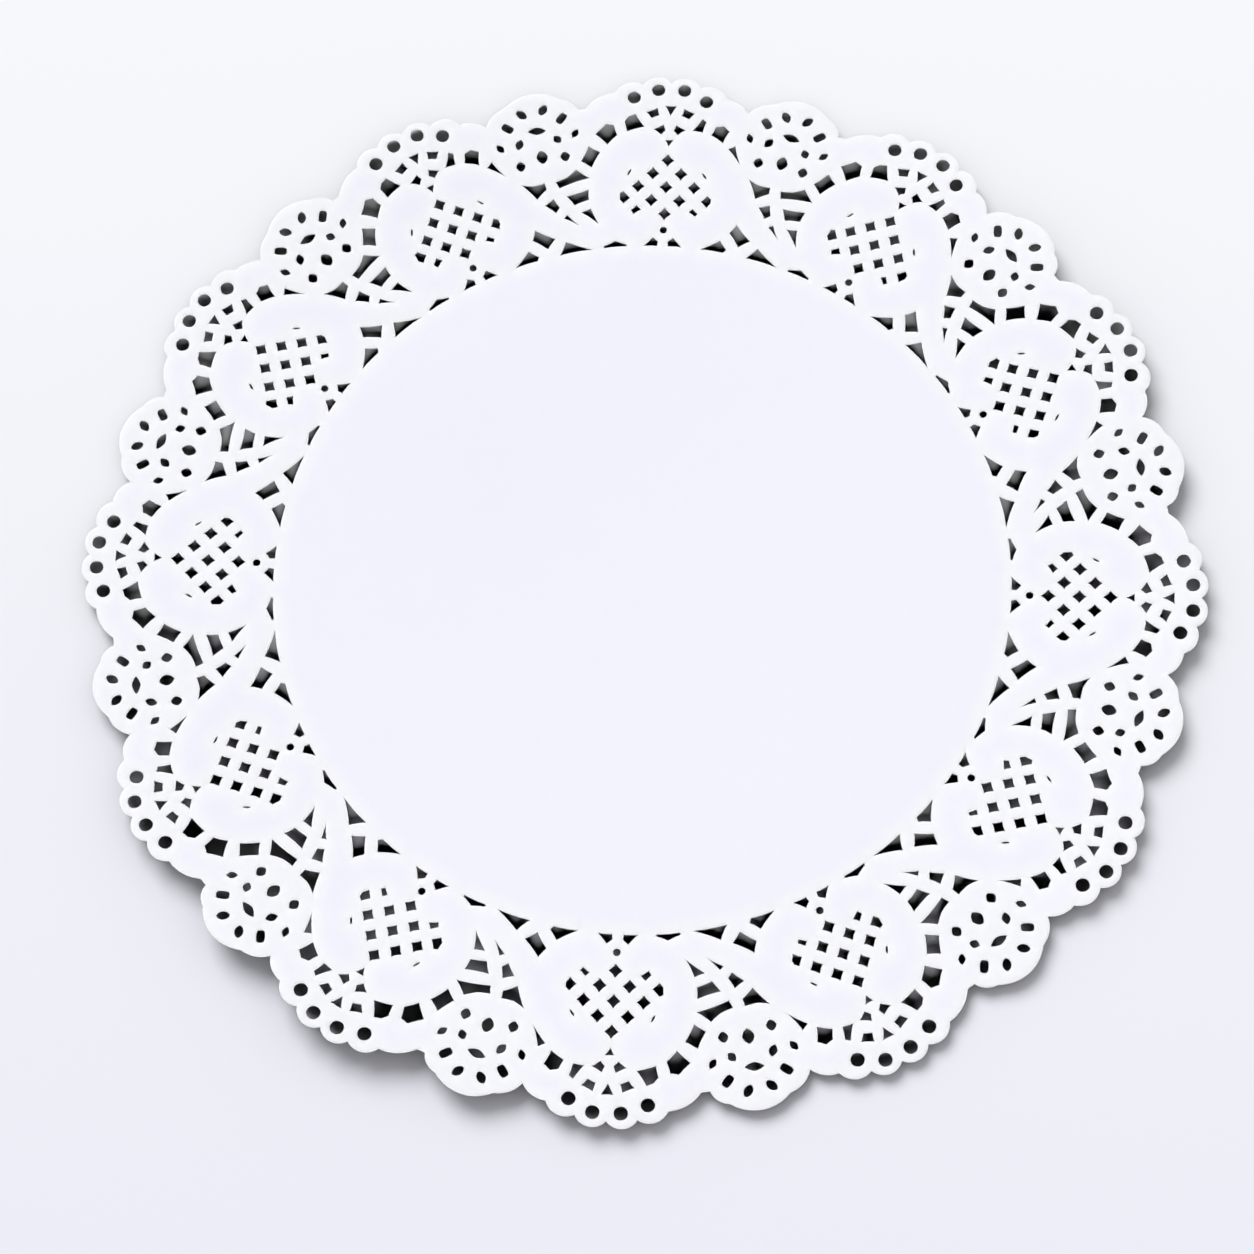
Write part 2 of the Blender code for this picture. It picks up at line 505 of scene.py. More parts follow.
class Wire:
    """One socket's value in a node tree. Arithmetic on it adds Math nodes."""

    def __init__(self, bench: "Bench", socket: NodeSocket) -> None:
        """Wraps an output socket of a bench's tree."""
        self.bench = bench
        self.socket = socket

    def maths(self, operation: str, *values: "Wire | float") -> "Wire":
        """The result of one Math node on these values."""
        return self.bench.node("ShaderNodeMath", dict(enumerate(values)), operation=operation)

    def __add__(self, other: "Wire | float") -> "Wire":
        """self + other."""
        return self.maths("ADD", self, other)

    def __radd__(self, other: float) -> "Wire":
        """other + self."""
        return self.maths("ADD", other, self)

    def __sub__(self, other: "Wire | float") -> "Wire":
        """self - other."""
        return self.maths("SUBTRACT", self, other)

    def __rsub__(self, other: float) -> "Wire":
        """other - self."""
        return self.maths("SUBTRACT", other, self)

    def __mul__(self, other: "Wire | float") -> "Wire":
        """self * other."""
        return self.maths("MULTIPLY", self, other)

    def __rmul__(self, other: float) -> "Wire":
        """other * self."""
        return self.maths("MULTIPLY", other, self)

    def __truediv__(self, other: "Wire | float") -> "Wire":
        """self / other."""
        return self.maths("DIVIDE", self, other)

    def __rtruediv__(self, other: float) -> "Wire":
        """other / self."""
        return self.maths("DIVIDE", other, self)

    def ramp(self, start: float, end: float) -> "Wire":
        """Rises smoothly from 0 where this value is at the start to 1 where it is at the end."""
        values = {"Value": self, "From Min": start, "From Max": end}
        return self.bench.node("ShaderNodeMapRange", values, interpolation_type="SMOOTHSTEP")


class Bench:
    """Adds nodes to a tree and links them."""

    def __init__(self, tree: NodeTree) -> None:
        """Works on a tree, which it first empties."""
        self.tree = tree
        tree.nodes.clear()

    @classmethod
    def of(cls, owner: Material | World) -> "Bench":
        """The bench of a material's or a world's own tree."""
        owner.use_nodes = True
        return cls(owner.node_tree)

    def node(
        self,
        kind: str,
        values: dict[str | int, object] | None = None,
        output: str | int = 0,
        **settings: str,
    ) -> Wire | None:
        """Adds one node.

        Args:
            kind: The node's type.
            values: The value, wire or list of wires of each input socket, by name or number.
            output: The output socket that is wanted, by name or number.
            settings: The node's settings, set before its sockets.

        Returns:
            That output, or None from a node that has no outputs.
        """
        node = self.tree.nodes.new(kind)
        for name, value in settings.items():
            setattr(node, name, value)
        for name, value in (values or {}).items():
            if not isinstance(value, (Wire, list)):
                node.inputs[name].default_value = value
                continue
            for wire in value if isinstance(value, list) else [value]:
                self.tree.links.new(wire.socket, node.inputs[name])
        return Wire(self, node.outputs[output]) if node.outputs else None

    def blend(self, share: Wire, first: Wire | Colour, second: Wire | Colour) -> Wire:
        """Two colours mixed. The share is how much of the second one shows."""
        first, second = (c if isinstance(c, Wire) else rgba(c) for c in (first, second))
        # A Mix node's inputs 6 and 7 are its colours, and its output 2 is the mixed colour.
        return self.node("ShaderNodeMix", {0: share, 6: first, 7: second}, 2, data_type="RGBA")


# -- Finishes --


def rgba(colour: Colour) -> tuple[float, float, float, float]:
    """A colour with full cover."""
    return (*colour, 1.0)


@dataclass(frozen=True)
class PaperFinish:
    """Smooth uncoated white paper with a faint lavender tint and a painted highlight along its
    cuts.

    Args:
        tone: The sheet's colour.
        shade: The colour of its faint clouds.
        painted_glow: Its colour along a cut, a painted highlight.
        halo: How far from a cut it is whiter, in millimetres.
        cloud: How much of the shade shows where a cloud is thickest.
        cloud_scale: How close its clouds are.
        fibre_size: The size of its fibres, in metres.
        fibre_share: How much of its relief is fibres, and not clouds.
        relief: How far its fibres stand out, in metres.
        relief_strength: How strongly they show.
        roughness: Its mean roughness.
        roughness_range: How much that varies.
        gloss: Its specular level.
    """

    tone: Colour = (0.785, 0.786, 0.866)
    shade: Colour = (0.769, 0.771, 0.853)
    painted_glow: Colour = (0.82, 0.824, 0.856)
    halo: float = 4.5
    cloud: float = 0.6
    cloud_scale: float = 22.0
    fibre_size: float = 0.0009
    fibre_share: float = 0.8
    relief: float = 0.000012
    relief_strength: float = 0.6
    roughness: float = 0.72
    roughness_range: float = 0.1
    gloss: float = 0.35

    def material(self) -> Material:
        """Makes the paper's nodes.

        Returns:
            The material.
        """
        material = bpy.data.materials.new("white_paper")
        bench = Bench.of(material)
        place = bench.node("ShaderNodeTexCoord", output="Object")
        clouds = bench.node(
            "ShaderNodeTexNoise", {"Vector": place, "Scale": self.cloud_scale, "Detail": 2.0},
        )
        fibres = bench.node(
            "ShaderNodeTexNoise",
            {"Vector": place, "Scale": 1 / self.fibre_size, "Detail": 3.0, "Roughness": 0.6},
        )
        to_cut = bench.node("ShaderNodeAttribute", output="Fac", attribute_name="to_cut")
        paper = bench.blend(clouds * self.cloud, self.tone, self.shade)
        # Painted highlight: the paper turns whiter towards each cut.
        colour = bench.blend(to_cut.ramp(self.halo, 0.0), paper, self.painted_glow)
        height = fibres * self.fibre_share + clouds * (1 - self.fibre_share)
        bump = bench.node(
            "ShaderNodeBump",
            {"Strength": self.relief_strength, "Distance": self.relief, "Height": height}, "Normal",
        )
        rough = fibres * self.roughness_range + (self.roughness - self.roughness_range / 2)
        shader = bench.node(
            "ShaderNodeBsdfPrincipled",
            {"Base Color": colour, "Roughness": rough, "Normal": bump,
             "Specular IOR Level": self.gloss, "Metallic": 0.0},
            "BSDF",
        )
        bench.node("ShaderNodeOutputMaterial", {"Surface": shader})
        return material


@dataclass(frozen=True)
class TableFinish:
    """A plain pale matt table top, darker towards the front by painted shade.

    Args:
        back: Its colour behind the sheet.
        front: Its colour in front of the sheet, darkened as painted shade.
        span: The depth that the change takes, in metres.
        roughness: Its roughness.
        gloss: Its specular level.
    """

    back: Colour = (0.90, 0.915, 0.94)
    front: Colour = (0.81, 0.81, 0.89)
    span: float = 0.5
    roughness: float = 0.85
    gloss: float = 0.2

    def material(self) -> Material:
        """Makes the table's nodes.

        Returns:
            The material.
        """
        material = bpy.data.materials.new("pale_table")
        bench = Bench.of(material)
        place = bench.node("ShaderNodeTexCoord", output="Object")
        depth = bench.node("ShaderNodeSeparateXYZ", {"Vector": place}, "Y")
        # Painted shade: the table grows darker towards the front.
        colour = bench.blend(depth.ramp(self.span / 2, -self.span / 2), self.back, self.front)
        shader = bench.node(
            "ShaderNodeBsdfPrincipled",
            {"Base Color": colour, "Roughness": self.roughness, "Specular IOR Level": self.gloss},
            "BSDF",
        )
        bench.node("ShaderNodeOutputMaterial", {"Surface": shader})
        return material


@dataclass(frozen=True)
class FlagFinish:
    """Dull black that gives no light back.

    Args:
        colour: Its colour.
    """

    colour: Colour = (0.0, 0.0, 0.0)

    def material(self) -> Material:
        """Makes the flags' nodes.

        Returns:
            The material.
        """
        material = bpy.data.materials.new("black_net")
        bench = Bench.of(material)
        shader = bench.node("ShaderNodeBsdfDiffuse", {"Color": rgba(self.colour)}, "BSDF")
        bench.node("ShaderNodeOutputMaterial", {"Surface": shader})
        return material


# -- The sheet --


def put(name: str, data: ID) -> Object:
    """Puts a mesh, a camera or a light in the scene.

    Args:
        name: The name of its object.
        data: The mesh, camera or light.

    Returns:
        Its object.
    """
    piece = bpy.data.objects.new(name, data)
    bpy.context.scene.collection.objects.link(piece)
    return piece


def put_mesh(
    name: str, points: list[Spot], faces: list[tuple[int, ...]], material: Material,
) -> Object:
    """Puts one mesh in the scene.

    Args:
        name: Its name.
        points: Its points.
        faces: Its faces.
        material: Its material.

    Returns:
        Its object.
    """
    mesh = bpy.data.meshes.new(name)
    mesh.from_pydata(points, [], faces)
    mesh.materials.append(material)
    return put(name, mesh)


@dataclass(frozen=True)
class Curl:
    """A stretch of the border that curls up more than the rest.

    Args:
        bearing: Where it is highest, in degrees.
        spread: How far along the rim it has all but faded out, in degrees.
        lift: How much higher the rim stands there, in metres.
    """

    bearing: float
    spread: float
    lift: float


@dataclass(frozen=True)
class FlatRepeat:
    """One flat repeat's outlines, in millimetres. A side is a row of x, y, x, y.

    Args:
        border: Its outline.
        gaps: Its gaps.
        sides: The sides of both.
        cuts: The cut sides near it, those of its neighbours included.
    """

    border: Outline
    gaps: list[Outline]
    sides: np.ndarray
    cuts: np.ndarray

    def off_gaps(self, points: np.ndarray) -> np.ndarray:
        """True for each point that lies in no gap."""
        return ~np.any([inside(points, gap) for gap in self.gaps], axis=0)

    def on_paper(self, points: np.ndarray) -> np.ndarray:
        """Those points that lie inside the border and in no gap."""
        return points[inside(points, self.border) & self.off_gaps(points)]


@dataclass
class PaperSheet:
    """The doily: one thin sheet that rests on its middle, with its lace border a little raised.

    Lengths are in metres. The last three lengths are in millimetres, like the chart.

    Args:
        chart: Its pattern.
        finish: Its paper.
        thickness: The paper's thickness.
        border_lift: How high a slow rise lifts the border off the table.
        border_span: Where that rise starts and ends, from the middle.
        rim_lift: How much higher the rim stands everywhere.
        rim_span: Where the rim's own rise starts and ends, from the middle.
        rim_bend: The power of the rim's rise. Over 1 it starts slowly.
        curls: Where the rim stands higher still.
        wave_height: The height of the border's small waves.
        wave_size: Their size.
        wave_seed: Picks one set of waves.
        press_depth: How far the die has pushed each cut edge down.
        press_width: How wide that pushed-down edge is.
        fine: The longest side of a triangle in the lace.
        coarse: The longest side of a triangle in the plain middle.
        flat_area: The paper's flat area in square metres, known once it is built.
    """

    chart: LaceChart = LaceChart()
    finish: PaperFinish = PaperFinish()
    thickness: float = 0.25 * MM
    border_lift: float = 2.0 * MM
    border_span: tuple[float, float] = (0.004, 0.1)
    rim_lift: float = 0.4 * MM
    rim_span: tuple[float, float] = (0.085, 0.13)
    rim_bend: float = 1.5
    curls: tuple[Curl, ...] = (
        Curl(55.0, 27.0, 4.2 * MM), Curl(105.0, 30.0, 2.2 * MM),
        Curl(217.0, 36.0, 5.6 * MM), Curl(325.0, 22.0, 2.0 * MM),
    )
    wave_height: float = 0.2 * MM
    wave_size: float = 0.06
    wave_seed: int = 4
    press_depth: float = 0.18 * MM
    press_width: float = 0.8
    fine: float = 2.3
    coarse: float = 4.5
    flat_area: float = 0.0

    def build(self) -> Object:
        """Builds the sheet as one plain mesh.

        Returns:
            The sheet's object, at the origin.
        """
        sheet = put("lace_sheet", self.repeat_mesh())
        self.flat_area = self.chart.repeats * sum(face.area for face in sheet.data.polygons)
        inputs = self.inputs()
        modifier = sheet.modifiers.new("ring", "NODES")
        modifier.node_group = self.ring_tree({name: kind for name, (kind, _) in inputs.items()})
        sockets = modifier.node_group.interface.items_tree
        for name, (_, value) in inputs.items():
            modifier[sockets[name].identifier] = value
        graph = bpy.context.evaluated_depsgraph_get()
        whole = bpy.data.meshes.new_from_object(
            sheet.evaluated_get(graph), preserve_all_data_layers=True, depsgraph=graph,
        )
        sheet.modifiers.clear()
        sheet.data = whole
        return sheet

    def repeat_mesh(self) -> Mesh:
        """Meshes one flat repeat, its gaps cut out.

        Returns:
            The mesh, with each point's distance to a cut kept on it.
        """
        chart = self.chart
        gaps = [spread(gap, self.fine / 2) for gap in chart.gaps()]
        seam = chart.seam_points(self.fine, self.coarse)
        border = chart.rim_points() + seam[:-1] + turned(seam, -chart.repeat_angle)[:0:-1]
        border = border[:-1] if dist(border[0], border[-1]) < SAME_POINT else border
        loops = [border] + gaps
        points = [point for loop in loops for point in loop]
        pairs: list[tuple[int, int]] = []
        for loop in loops:
            first = len(pairs)
            pairs += [(first + i, first + (i + 1) % len(loop)) for i in range(len(loop))]

        sides = np.array([points[k] for pair in pairs for k in pair]).reshape(-1, 4)
        flat = FlatRepeat(border, gaps, sides, self.cut_sides(gaps))
        inner = self.collar_points(flat) + self.grid_points(flat)
        coords = [Vector(point) for point in points + inner]
        found, _, faces, *_ = delaunay_2d_cdt(coords, pairs, [], CDT_INSIDE, CDT_TOLERANCE)
        spots = np.array([tuple(point) for point in found])
        faces = np.array([tuple(face) for face in faces])
        middles = spots[faces].mean(axis=1)
        faces = faces[flat.off_gaps(middles)]
        a, b, c = (spots[faces[:, k]] for k in range(3))
        (bx, by), (cx, cy) = (b - a).T, (c - a).T
        wound = bx * cy - by * cx
        faces[wound < 0] = faces[wound < 0][:, ::-1]

        mesh = bpy.data.meshes.new("lace_sheet")
        mesh.from_pydata([(x * MM, y * MM, 0.0) for x, y in spots], [], faces.tolist())
        to_cut = mesh.attributes.new("to_cut", "FLOAT", "POINT")
        to_cut.data.foreach_set("value", distance_to(spots, flat.cuts))
        return mesh

    def cut_sides(self, gaps: list[Outline]) -> np.ndarray:
        """Every cut side near one repeat, those of its neighbours' gaps and of the rim included.

        Args:
            gaps: The repeat's gaps.

        Returns:
            A row of x, y, x, y for each side.
        """
        angle = self.chart.repeat_angle
        rim = self.chart.rim_points()
        rim = turned(rim, -angle) + rim + turned(rim, angle)
        sides = list(zip(rim, rim[1:]))
        for turn in (-angle, 0.0, angle):
            for gap in gaps:
                loop = turned(gap, turn)
                sides += zip(loop, loop[1:] + loop[:1])
        return np.array(sides).reshape(-1, 4)

    def grid_points(self, flat: FlatRepeat) -> Outline:
        """Points on two grids, a fine one in the lace and a coarse one in the plain middle.

        Args:
            flat: The flat repeat.

        Returns:
            The points, in millimetres.
        """
        result: Outline = []
        rim_reach = max(hypot(*point) for point in flat.border)
        lace_reach = self.chart.plain_reach - self.fine
        rings = ((self.fine, lace_reach, rim_reach), (self.coarse, 0.0, lace_reach))
        for spacing, near, far in rings:
            rows = ceil(2 * rim_reach / (spacing * sqrt(3) / 2))
            columns = ceil(2 * rim_reach / spacing)
            grid = np.array([
                (-rim_reach + (i + 0.5 * (j % 2)) * spacing,
                 -rim_reach + j * spacing * sqrt(3) / 2)
                for j in range(rows) for i in range(columns)
            ])
            reach = np.hypot(grid[:, 0], grid[:, 1])
            grid = flat.on_paper(grid[(reach > near) & (reach < far)])
            grid = grid[distance_to(grid, flat.sides) > GRID_SHARE * spacing]
            result += [tuple(point) for point in grid.tolist()]
        return result

    def collar_points(self, flat: FlatRepeat) -> Outline:
        """Points in two rows beside each cut, which carry the pushed-down edge's shape.

        Args:
            flat: The flat repeat.

        Returns:
            The points, in millimetres.
        """
        result: Outline = []
        loops = flat.gaps + [self.chart.rim_points()]
        for share, spacing in COLLAR_ROWS:
            distance = share * self.press_width
            row = np.concatenate([beside(loop, distance, spacing) for loop in loops])
            row = flat.on_paper(row)
            row = row[distance_to(row, flat.cuts) > CUT_SHARE * distance]
            row = row[distance_to(row, flat.sides) > SIDE_GAP]
            for point in row.tolist():
                if all(dist(point, other) > POINT_GAP for other in result):
                    result.append(tuple(point))
        return result

    def inputs(self) -> dict[str, tuple[str, object]]:
        """The kind and value of each of the node tree's inputs but the sheet, by name."""
        number, count = "NodeSocketFloat", "NodeSocketInt"
        return {
            "Repeats": (count, self.chart.repeats),
            "Paper thickness": (number, self.thickness),
            "Border lift": (number, self.border_lift),
            "Rim lift": (number, self.rim_lift),
            "Wave height": (number, self.wave_height),
            "Wave size": (number, self.wave_size),
            "Wave seed": (count, self.wave_seed),
            "Press depth": (number, self.press_depth),
            "Press width": (number, self.press_width),
            "Paper": ("NodeSocketMaterial", self.finish.material()),
        }

    def ring_tree(self, inputs: dict[str, str]) -> NodeTree:
        """Makes the node tree that turns one flat repeat into the whole sheet.

        Args:
            inputs: The kind of each of its inputs but the sheet, by name.

        Returns:
            The tree.
        """
        tree = bpy.data.node_groups.new("doily_ring", "GeometryNodeTree")
        kinds = {"Sheet": "NodeSocketGeometry", **inputs}
        for name, kind in kinds.items():
            tree.interface.new_socket(name, in_out="INPUT", socket_type=kind)
        tree.interface.new_socket("Sheet", in_out="OUTPUT", socket_type="NodeSocketGeometry")
        bench = Bench(tree)
        given = {name: bench.node("NodeGroupInput", output=name) for name in kinds}
        one_point = {"Distance": SAME_POINT * MM}

        # The repeats, turned round the middle and made one sheet.
        spots = bench.node("GeometryNodePoints", {"Count": given["Repeats"]})
        angle = bench.node("GeometryNodeInputIndex") * (-2 * pi) / given["Repeats"]
        turn = bench.node("ShaderNodeCombineXYZ", {"Z": angle})
        ring = bench.node(
            "GeometryNodeInstanceOnPoints",
            {"Points": spots, "Instance": given["Sheet"], "Rotation": turn},
        )
        ring = bench.node("GeometryNodeRealizeInstances", {"Geometry": ring})
        ring = bench.node("GeometryNodeMergeByDistance", {"Geometry": ring, **one_point})

        # The sheet rises slowly from its middle to the border. The rim curls up unevenly.
        place = bench.node("GeometryNodeInputPosition")
        reach = bench.node("ShaderNodeVectorMath", {0: place}, "Value", operation="LENGTH")
        slow_rise = reach.ramp(*self.border_span)
        start, end = self.rim_span
        rim_rise = bench.node(
            "ShaderNodeMapRange", {"Value": reach, "From Min": start, "From Max": end},
        )
        rim_rise = rim_rise.maths("POWER", rim_rise, self.rim_bend)
        waves = bench.node(
            "ShaderNodeTexNoise",
            {"Vector": place, "W": given["Wave seed"] * SEED_STEP,
             "Scale": 1.0 / given["Wave size"], "Detail": 1.0, "Roughness": 0.4},
            noise_dimensions="4D",
        )
        height = given["Border lift"] * slow_rise
        height = height + rim_rise * (given["Rim lift"] + self.curled(bench, place))
        height = height + (waves - 0.5) * 2.0 * given["Wave height"] * slow_rise

        # Each cut edge is pressed down in a small round fall.
        to_cut = bench.node(
            "GeometryNodeInputNamedAttribute", {"Name": "to_cut"}, "Attribute", data_type="FLOAT",
        )
        fall = 1.0 - to_cut / given["Press width"]
        fall = fall.maths("MAXIMUM", fall, 0.0)
        height = height - fall * fall * given["Press depth"]
        lift = bench.node("ShaderNodeCombineXYZ", {"Z": height})
        sheet = bench.node("GeometryNodeSetPosition", {"Geometry": ring, "Offset": lift})

        # Its thickness: the face goes up, its sides follow, and the back is a turned copy.
        up = bench.node("ShaderNodeCombineXYZ", {"Z": 1.0})
        face = bench.node(
            "GeometryNodeExtrudeMesh",
            {"Mesh": sheet, "Offset": up, "Offset Scale": given["Paper thickness"],
             "Individual": False},
            mode="FACES",
        )
        back = bench.node("GeometryNodeFlipFaces", {"Mesh": sheet})
        whole = bench.node("GeometryNodeJoinGeometry", {"Geometry": [back, face]})
        whole = bench.node("GeometryNodeMergeByDistance", {"Geometry": whole, **one_point})
        edge_angle = bench.node("GeometryNodeInputMeshEdgeAngle", output="Unsigned Angle")
        sharp = bench.node(
            "FunctionNodeCompare", {0: edge_angle, 1: radians(CREASE_ANGLE)},
            data_type="FLOAT", operation="GREATER_THAN",
        )
        whole = bench.node(
            "GeometryNodeStoreNamedAttribute",
            {"Geometry": whole, "Name": "sharp_edge", "Value": sharp},
            data_type="BOOLEAN", domain="EDGE",
        )
        whole = bench.node("GeometryNodeSetShadeSmooth", {"Geometry": whole, "Shade Smooth": True})
        whole = bench.node("GeometryNodeRealizeInstances", {"Geometry": whole})
        whole = bench.node(
            "GeometryNodeSetMaterial", {"Geometry": whole, "Material": given["Paper"]},
        )
        bench.node("NodeGroupOutput", {"Sheet": whole})
        return tree

    def curled(self, bench: Bench, place: Wire) -> Wire:
        """How much higher the curls make the rim, at each bearing.

        Args:
            bench: The tree's bench.
            place: Each point's place.

        Returns:
            The height, in metres.
        """
        across, back = (
            bench.node("ShaderNodeSeparateXYZ", {"Vector": place}, axis) for axis in ("X", "Y")
        )
        bearing = across.maths("ARCTAN2", across, back)
        height: Wire | float = 0.0
        for curl in self.curls:
            aside = bearing - radians(curl.bearing)
            aside = aside.maths("WRAP", aside, -pi, pi) / radians(curl.spread)
            fade = aside * aside * -1.0
            height = fade.maths("EXPONENT", fade) * curl.lift + height
        return height


def beside(outline: Outline, distance: float, spacing: float) -> np.ndarray:
    """Points on both sides of a closed outline.

    Args:
        outline: The outline's points, in order.
        distance: How far from the outline they are.
        spacing: How far apart they are along it.

    Returns:
        The points, a row for each.
    """
    closed = np.array(outline + outline[:1])
    along = np.concatenate([[0.0], np.cumsum(np.hypot(*np.diff(closed, axis=0).T))])
    steps = max(3, round(along[-1] / spacing))
    at = np.linspace(0, along[-1], steps, endpoint=False)
    here, ahead = (
        np.stack([np.interp(spot % along[-1], along, closed[:, k]) for k in (0, 1)], axis=1)
        for spot in (at, at + AHEAD_SHARE * spacing)
    )
    run = ahead - here
    aside = np.stack([run[:, 1], -run[:, 0]], axis=1) / np.hypot(*run.T)[:, None] * distance
    return np.concatenate([here + aside, here - aside])


def inside(points: np.ndarray, outline: Outline) -> np.ndarray:
    """Tells which points lie inside a closed outline.

    Args:
        points: The points, a row for each.
        outline: The outline's points, in order.

    Returns:
        True for each point inside.
    """
    result = np.zeros(len(points), bool)
    x, y = points[:, 0], points[:, 1]
    for (x0, y0), (x1, y1) in zip(outline, outline[1:] + outline[:1]):
        if y0 == y1:
            continue
        crosses = (y0 > y) != (y1 > y)
        result ^= crosses & (x < (x1 - x0) * (y - y0) / (y1 - y0) + x0)
    return result


def distance_to(points: np.ndarray, sides: np.ndarray) -> np.ndarray:
    """How far points are from the nearest of many sides.

    Args:
        points: The points, a row for each.
        sides: A row of x, y, x, y for each side.

    Returns:
        Each point's distance, in the points' own unit.
    """
    start, run = sides[:, :2], sides[:, 2:] - sides[:, :2]
    length = np.maximum((run * run).sum(axis=1), NO_LENGTH)
    result = np.empty(len(points))
    for i, point in enumerate(points):
        share = np.clip(((point - start) * run).sum(axis=1) / length, 0, 1)
        result[i] = np.sqrt((((start + run * share[:, None]) - point) ** 2).sum(axis=1).min())
    return result


# -- The room --


@dataclass(frozen=True)
class Table:
    """The pale table that the sheet lies on.

    Args:
        finish: Its finish.
        radius: How far it reaches, in metres.
        sides: How many sides its round edge has.
        drop: How far its top is under the sheet, in metres.
    """

    finish: TableFinish = TableFinish()
    radius: float = 3.0
    sides: int = 64
    drop: float = 0.02 * MM

    def build(self) -> Object:
        """Makes the table top.

        Returns:
            The table.
        """
        ring = [step_from(ORIGIN, -360 * i / self.sides, self.radius) for i in range(self.sides)]
        top = [(x, y, -self.drop) for x, y in ring]
        table = put_mesh("table", top, [range(self.sides)], self.finish.material())
        return table


@dataclass(frozen=True)
class UnderLace:
    """What is under the lace: its own patch of table, and two unseen studio flags that shade it.

    The gaps in the photograph are nearly black, and over an open pale table they would be pale.

    Args:
        chart: The lace that they follow.
        inner_reach: Where the flat flag ends under the plain middle, in millimetres.
        height: How high the flat flag is over the table, in metres.
        inset: How much smaller than the sheet they are, as a share.
        clearance: How far the upright flag stays under the sheet, in metres.
        finish: The flags' finish.
        rise: How far the patch stands over the table, in metres.
        lean: How far back the flags' foot is, as a share of the rim's height, so that the view
            through a gap near the rim falls on them.
    """

    chart: LaceChart = LaceChart()
    inner_reach: float = 70.0
    height: float = 0.8 * MM
    inset: float = 0.002
    clearance: float = 0.1 * MM
    finish: FlagFinish = FlagFinish()
    rise: float = 0.01 * MM
    lean: float = 0.3

    def build(self, sheet: Object, table: Object) -> tuple[Object, Object]:
        """Makes the patch, the flat flag, and the upright flag that goes up to the rim.

        Args:
            sheet: The sheet that they stand under.
            table: The table, which gives the patch its height and finish.

        Returns:
            The patch and the flat flag.
        """
        rim = [
            (x * (1 - self.inset) * MM, y * (1 - self.inset) * MM)
            for i in range(self.chart.repeats)
            for x, y in turned(self.chart.rim_points(), i * self.chart.repeat_angle)
        ]
        over = [sheet.closest_point_on_mesh((x, y, 0.0))[1].z - self.clearance for x, y in rim]
        top = [(x, y, z) for (x, y), z in zip(rim, over)]
        foot = [(x, y + self.lean * z) for x, y, z in top]
        edge = [(x, y, self.height) for x, y in foot]
        share = [self.inner_reach * MM / hypot(*point) for point in foot]
        inner = [(x * part, y * part, self.height) for (x, y), part in zip(foot, share)]
        black = self.finish.material()
        self.flag("skirt_flag", edge, top, black)
        ground = table.data.vertices[0].co.z + self.rise
        low = [(x, y, ground) for x, y in foot]
        whole = [range(len(foot))[::-1]]
        patch = put_mesh("table_patch", low, whole, table.active_material)
        return patch, self.flag("flat_flag", inner, edge, black)

    @staticmethod
    def flag(name: str, first: list[Spot], second: list[Spot], material: Material) -> Object:
        """Makes one closed band between two rings of points, and hides it from the camera.

        Args:
            name: The flag's name.
            first: One ring.
            second: The other ring, with as many points.
            material: Its material.

        Returns:
            The flag.
        """
        count = len(first)
        faces = [(i, (i + 1) % count, count + (i + 1) % count, count + i) for i in range(count)]
        flag = put_mesh(name, first + second, faces, material)
        flag.visible_camera = flag.visible_glossy = flag.visible_transmission = False
        return flag


@dataclass(frozen=True)
class Viewpoint:
    """The camera, in the photograph's place.

    Args:
        place: Where it stands, in metres.
        aim: Where the middle of its picture falls, in metres.
        roll: How far it leans to its left, in degrees. Less than 0 is to its right.
        lens: Its focal length, in millimetres.
        clip: The nearest and the farthest that it sees, in metres.
    """

    place: Spot = (0.0529, -0.3379, 0.8783)
    aim: Spot = (-0.0025, -0.0125, 0.0028)
    roll: float = -6.57
    lens: float = 114.33
    clip: tuple[float, float] = (0.05, 20.0)

    def build(self) -> None:
        """Makes the camera and gives it to the scene."""
        data = bpy.data.cameras.new("camera")
        data.sensor_fit = "HORIZONTAL"
        data.sensor_width = SENSOR_WIDTH
        data.lens = self.lens
        data.clip_start, data.clip_end = self.clip
        camera = put("camera", data)
        look = Vector(self.aim) - Vector(self.place)
        roll = Matrix.Rotation(radians(self.roll), 3, "Z")
        turn = look.to_track_quat("-Z", "Y").to_matrix() @ roll
        camera.matrix_world = Matrix.Translation(self.place) @ turn.to_4x4()
        bpy.context.scene.camera = camera


class Lit(Enum):
    """What a light reaches."""

    ALL = "all"
    SHEET = "sheet"
    PATCH = "patch"


